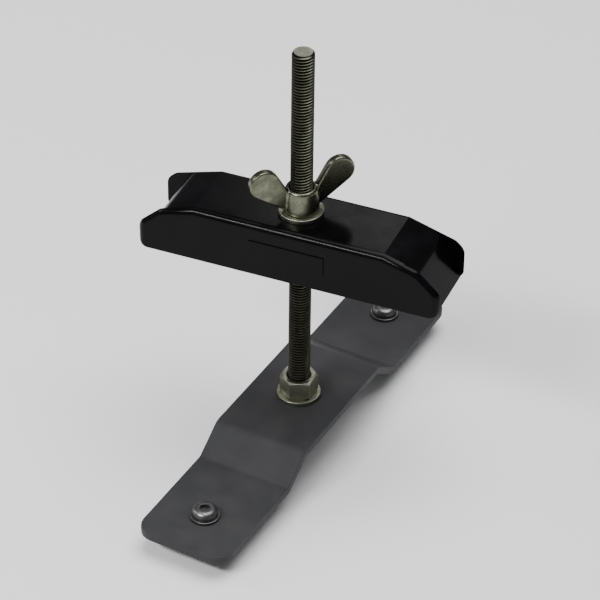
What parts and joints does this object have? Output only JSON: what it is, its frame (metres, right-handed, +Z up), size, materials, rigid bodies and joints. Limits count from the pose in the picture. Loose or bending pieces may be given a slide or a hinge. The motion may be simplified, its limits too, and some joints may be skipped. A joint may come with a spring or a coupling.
{
  "type": "spare tire carrier",
  "caption": "Roof rack spare wheel carrier: stepped steel foot strip, upright threaded rod, folded black clamp plate, washer and wing nut that screws down on the wheel.",
  "frame": {"origin": "on the rod's axis, level with the underside of the channel nuts, which are the lowest point", "axes": "+Z up along the rod, +Y along the base strip towards the rear foot, +X along the rack's slats"},
  "size_m": [0.1716, 0.256, 0.245],
  "materials": {
    "black_coat": "satin black powder coat on folded steel sheet",
    "strip_coat": "satin charcoal powder coat on bent steel bar",
    "zinc": "olive grey zinc plate on steel",
    "dark_zinc": "dark grey plate on steel screws and washers"
  },
  "bodies": {
    "base": {"base_strip": "strip_coat", "threaded_rod": "zinc", "platform_washer": "zinc", "platform_nut": "zinc", "under_washer": "zinc", "under_nut": "zinc", "front_foot_screw": "dark_zinc", "front_foot_washer": "dark_zinc", "front_channel_nut": "zinc", "rear_foot_screw": "dark_zinc", "rear_foot_washer": "dark_zinc", "rear_channel_nut": "zinc"},
    "clamp_carriage": {"clamp_washer": "zinc"},
    "clamp": {"clamp_plate": "black_coat"},
    "wing": {"wing_nut": "zinc"}
  },
  "joints": [
    {"name": "clamp_height", "type": "slide", "parent": "base", "child": "clamp_carriage", "axis": [0, 0, 1], "range_m": [-0.087, 0.08]},
    {"name": "clamp_swivel", "type": "hinge", "parent": "clamp_carriage", "child": "clamp", "pos_m": [0, 0, 0.147], "axis": [0, 0, 1], "continuous": true},
    {"name": "wing_nut_turn", "type": "hinge", "parent": "clamp_carriage", "child": "wing", "pos_m": [0, 0, 0.1495], "axis": [0, 0, 1], "continuous": true}
  ],
  "couplings": [
    {"joint": "wing_nut_turn", "follows": "clamp_height", "rad_per_m": 3590.4}
  ]
}
